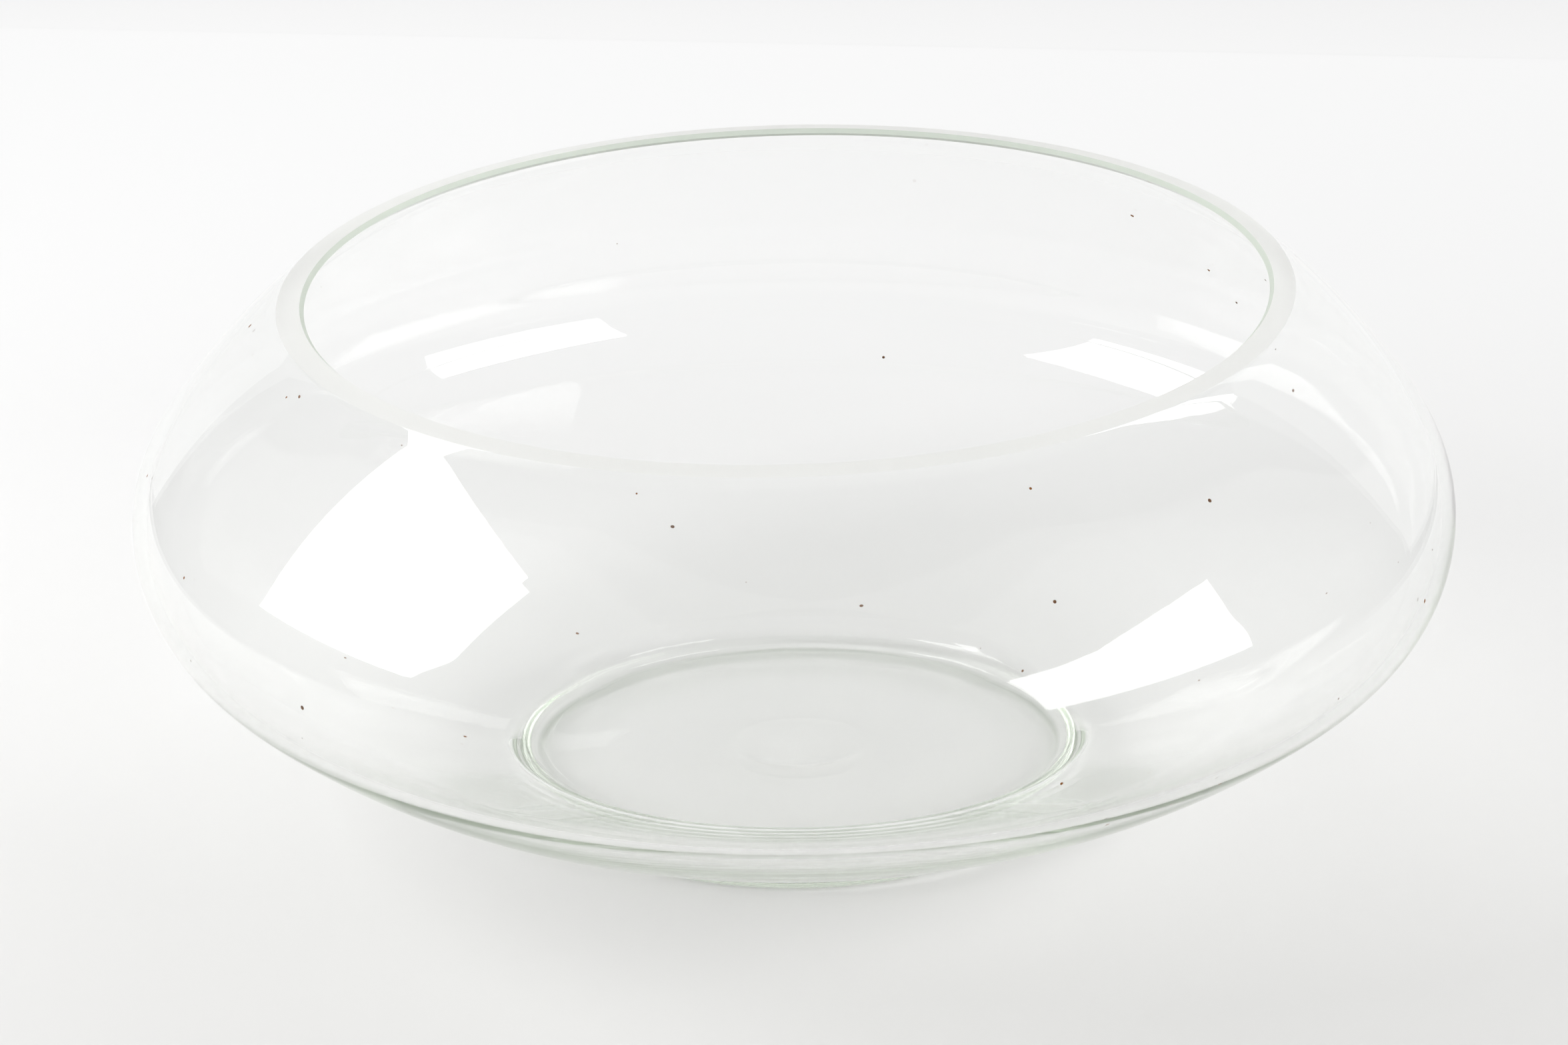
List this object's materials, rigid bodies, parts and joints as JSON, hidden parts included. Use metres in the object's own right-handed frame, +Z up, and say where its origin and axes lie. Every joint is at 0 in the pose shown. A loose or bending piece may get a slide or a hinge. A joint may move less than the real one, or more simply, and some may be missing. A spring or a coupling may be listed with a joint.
{
  "type": "wide crystallizing bowl",
  "caption": "Wide, round-shouldered bowl of clear blown glass with a turned-in ground rim and a small round foot, for crystallizing, evaporating and rinsing.",
  "frame": {"origin": "centre of the foot, on the surface that it stands on", "axes": "+Z up, along the bowl's axis of revolution and out of its mouth; +X to the right and +Y to the back as the bowl is usually seen"},
  "size_m": [0.3, 0.3, 0.1195],
  "materials": {
    "glass": "gloss"
  },
  "bodies": {
    "root": {"bowl": "glass"}
  },
  "joints": []
}
